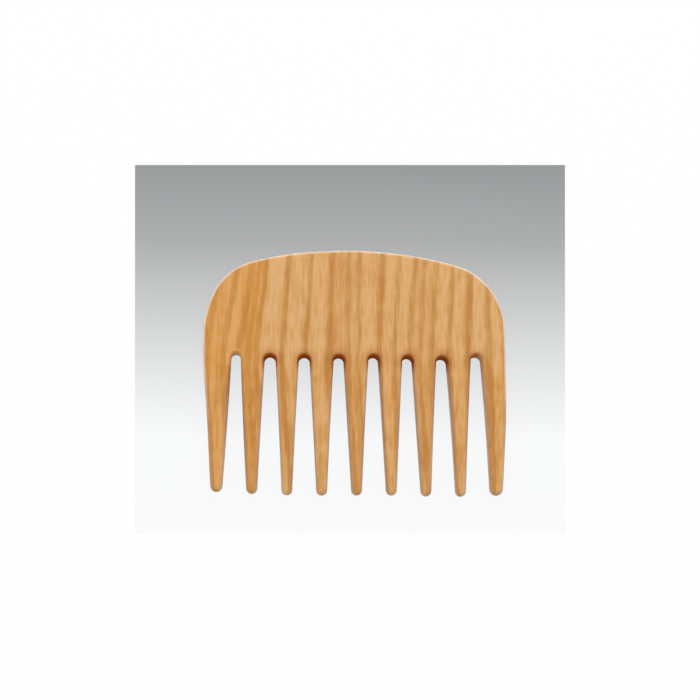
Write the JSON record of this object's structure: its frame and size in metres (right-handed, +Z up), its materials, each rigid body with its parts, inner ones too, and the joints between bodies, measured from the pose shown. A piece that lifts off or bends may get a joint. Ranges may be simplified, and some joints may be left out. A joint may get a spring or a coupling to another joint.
{
  "type": "afro comb",
  "caption": "Wide-tooth wooden afro comb: a low arched back that fits the palm, over long tapered teeth with rounded tips and round gullets.",
  "frame": {"origin": "on the surface that the comb lies on, under the middle of its overall width and of its overall height from tips to arch", "axes": "+X across the teeth, along the overall width; +Y from the tips to the top of the arched back; +Z up through the thickness of the board"},
  "size_m": [0.1, 0.082, 0.0065],
  "materials": {
    "oiled_ash": "oiled satin, grain along the teeth"
  },
  "bodies": {
    "root": {"back": "oiled_ash", "tooth_1": "oiled_ash", "tooth_2": "oiled_ash", "tooth_3": "oiled_ash", "tooth_4": "oiled_ash", "tooth_5": "oiled_ash", "tooth_6": "oiled_ash", "tooth_7": "oiled_ash", "tooth_8": "oiled_ash", "tooth_9": "oiled_ash"}
  },
  "joints": []
}
